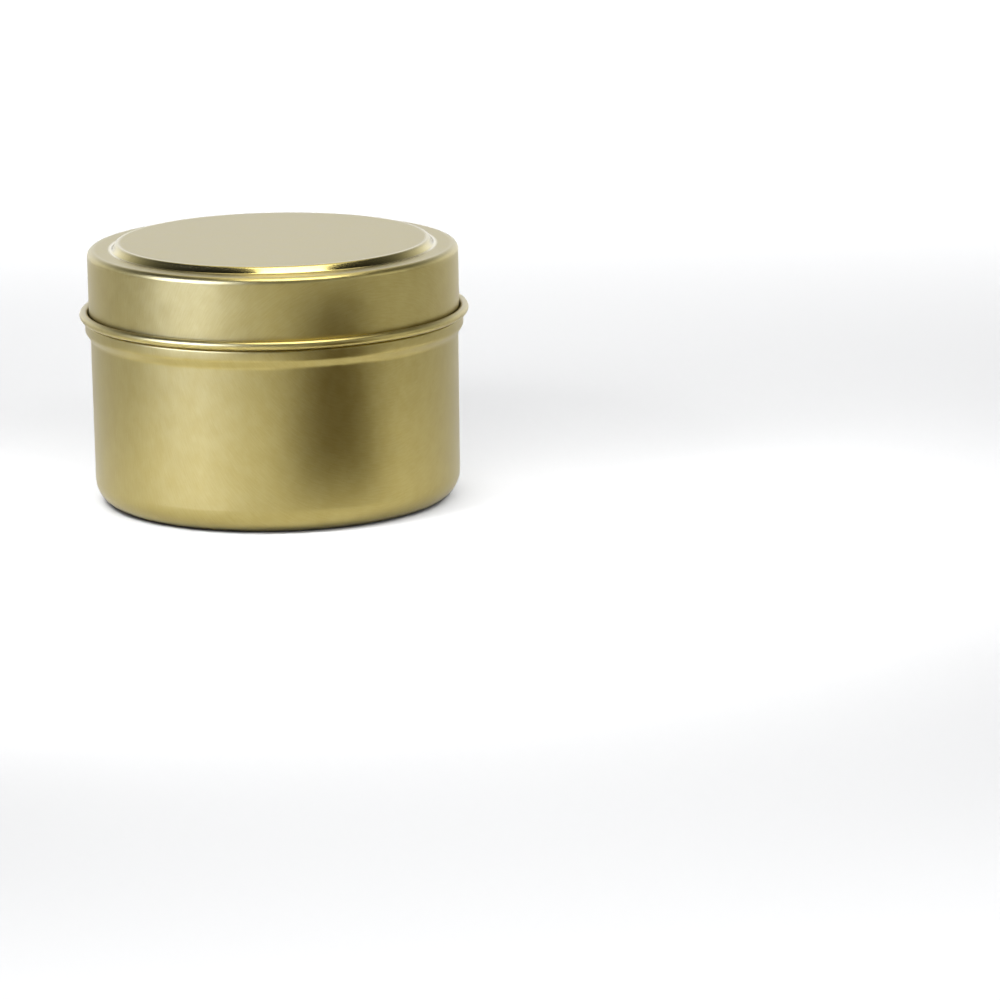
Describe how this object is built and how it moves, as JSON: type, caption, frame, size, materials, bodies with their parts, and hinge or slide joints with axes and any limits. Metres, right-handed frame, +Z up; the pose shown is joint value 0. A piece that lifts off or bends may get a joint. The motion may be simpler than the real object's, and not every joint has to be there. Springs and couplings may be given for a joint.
{
  "type": "candle tin",
  "caption": "Round seamless candle tin in satin gold tinplate, with a beaded body, a rolled mouth and a slip-on lid with a raised flat top and a rolled hem.",
  "frame": {"origin": "centre of the base, on the surface that the tin stands on", "axes": "+Z up along the tin's axis of revolution, out through the lid; X and Y are free, because the tin is round"},
  "size_m": [0.078, 0.078, 0.0527],
  "materials": {
    "container_lacquer": "satin gold lacquer on tinplate, fine rolled grain",
    "lid_lacquer": "satin gold lacquer on tinplate, fine rolled grain"
  },
  "bodies": {
    "container": {"container": "container_lacquer"},
    "lid": {"lid": "lid_lacquer"}
  },
  "joints": [
    {"name": "lid_lift", "type": "slide", "parent": "container", "child": "lid", "axis": [0, 0, 1], "range_m": [0, 0.06]}
  ]
}
